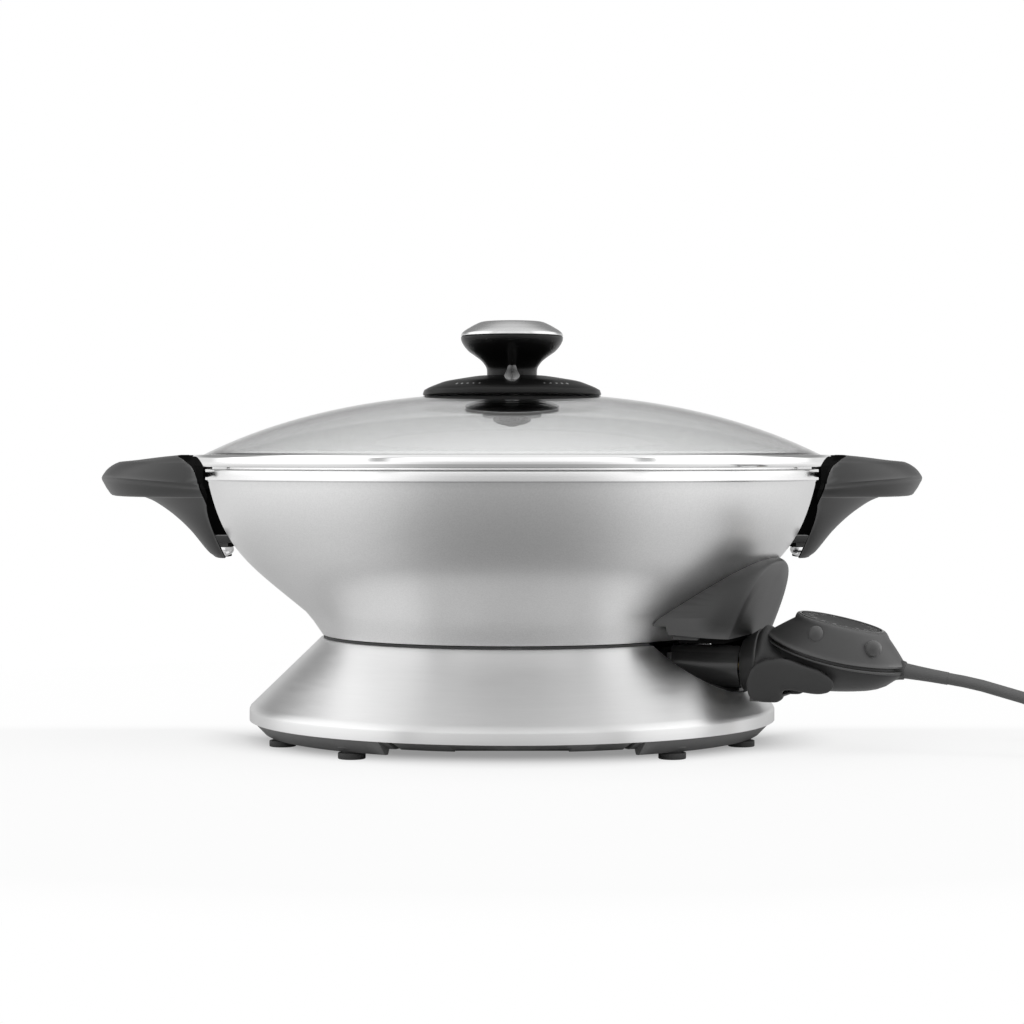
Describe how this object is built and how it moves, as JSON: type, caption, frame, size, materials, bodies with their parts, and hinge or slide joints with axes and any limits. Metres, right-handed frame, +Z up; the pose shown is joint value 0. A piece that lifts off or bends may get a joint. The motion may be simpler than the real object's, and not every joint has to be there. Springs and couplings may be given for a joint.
{
  "type": "electric wok",
  "caption": "Round electric wok: cast bowl with wing handles, domed glass lid with a vent knob, flared steel base and a pull-out temperature probe on a mains cord.",
  "frame": {"origin": "centre of the bowl's axis on the worktop, under the feet", "axes": "+Z up, +X to the user's right along the handles, -Y towards the user"},
  "size_m": [0.6447, 0.3688, 0.241],
  "materials": {
    "brushed_steel": "radially brushed stainless",
    "bowl_casting": "satin silver coat outside, dark non-stick inside",
    "black_moulding": "fine texture",
    "grey_moulding": "fine texture",
    "gloss_moulding": "gloss",
    "handle_phenolic": "satin phenolic",
    "foot_rubber": "matte",
    "plain_steel": "plain",
    "element_steel": "dull",
    "ceramic_bead": "matte",
    "copper_well": "dull",
    "polished_steel": "mirror polish",
    "clear_glass": "clear",
    "vent_metal": "satin",
    "pointer_grey": "satin",
    "contact_brass": "plated",
    "dial_black": "fine texture with light numbers",
    "cord_sheath": "matte"
  },
  "bodies": {
    "base": {"base_skirt": "brushed_steel", "notch_liner": "black_moulding", "base_plate": "black_moulding", "base_feet": "foot_rubber", "base_screws": "plain_steel", "seat_gasket": "foot_rubber", "release_spring": "plain_steel"},
    "paddle": {"release_paddle": "black_moulding", "latch_plate": "plain_steel", "latch_rivets": "plain_steel"},
    "bowl": {"wok_bowl": "bowl_casting", "heating_element": "element_steel", "terminal_pins": "plain_steel", "terminal_beads": "ceramic_bead", "sensor_well": "copper_well", "socket_shroud": "gloss_moulding", "socket_backplate": "gloss_moulding", "heat_guard": "black_moulding", "guard_screws": "plain_steel", "latch_stud": "plain_steel", "handle_left": "handle_phenolic", "handle_right": "handle_phenolic", "rim_saddle_left": "gloss_moulding", "rim_saddle_right": "gloss_moulding", "saddle_screws": "plain_steel", "handle_studs": "plain_steel", "cap_nuts": "polished_steel"},
    "lid": {"lid_glass": "clear_glass", "lid_rim": "polished_steel", "vent_collar": "gloss_moulding", "collar_gasket": "foot_rubber", "lid_washer": "foot_rubber", "vent_cup": "vent_metal"},
    "knob": {"lid_knob": "gloss_moulding", "knob_cap": "polished_steel", "knob_pointer": "pointer_grey", "knob_spindle": "plain_steel", "vent_shutter": "vent_metal"},
    "probe": {"probe_cover": "grey_moulding", "probe_base": "black_moulding", "probe_neck": "black_moulding", "sensor_rod": "plain_steel", "contact_sleeves": "contact_brass", "thermostat_block": "ceramic_bead", "grip_studs": "grey_moulding", "dial_trim": "polished_steel", "probe_screws": "plain_steel", "strain_relief": "cord_sheath", "cord_lead": "cord_sheath", "cord_coil": "cord_sheath", "coil_tie": "foot_rubber", "plug_body": "cord_sheath", "plug_pins": "contact_brass", "trigger_pin": "plain_steel", "trigger_spring": "plain_steel"},
    "dial": {"temperature_dial": "dial_black", "dial_shaft": "plain_steel"},
    "trigger": {"release_trigger": "black_moulding"}
  },
  "joints": [
    {"name": "paddle_slide", "type": "slide", "parent": "base", "child": "paddle", "axis": [0, -1, 0], "range_m": [0, 0.005], "stiffness_N_per_m": 400, "springref_m": -0.002, "deforming": ["release_spring"]},
    {"name": "bowl_lift", "type": "slide", "parent": "base", "child": "bowl", "axis": [0, 0, 1], "range_m": [0, 0.08]},
    {"name": "lid_lift", "type": "slide", "parent": "bowl", "child": "lid", "axis": [0, 0, 1], "range_m": [0, 0.1]},
    {"name": "vent_turn", "type": "hinge", "parent": "lid", "child": "knob", "pos_m": [0, 0, 0.2], "axis": [0, 0, 1], "range_deg": [-45, 45]},
    {"name": "probe_pull", "type": "slide", "parent": "bowl", "child": "probe", "axis": [0.9397, -0.342, 0], "range_m": [0, 0.08]},
    {"name": "dial_turn", "type": "hinge", "parent": "probe", "child": "dial", "pos_m": [0.18258, -0.06646, 0.071], "axis": [0.213, -0.0775, 0.974], "range_deg": [0, 300]},
    {"name": "trigger_squeeze", "type": "hinge", "parent": "probe", "child": "trigger", "pos_m": [0.14377, -0.05233, 0.0417], "axis": [-0.342, -0.9397, 0], "range_deg": [0, 5], "stiffness_Nm_per_rad": 0.6, "springref_deg": -8.59, "deforming": ["trigger_spring"]}
  ]
}
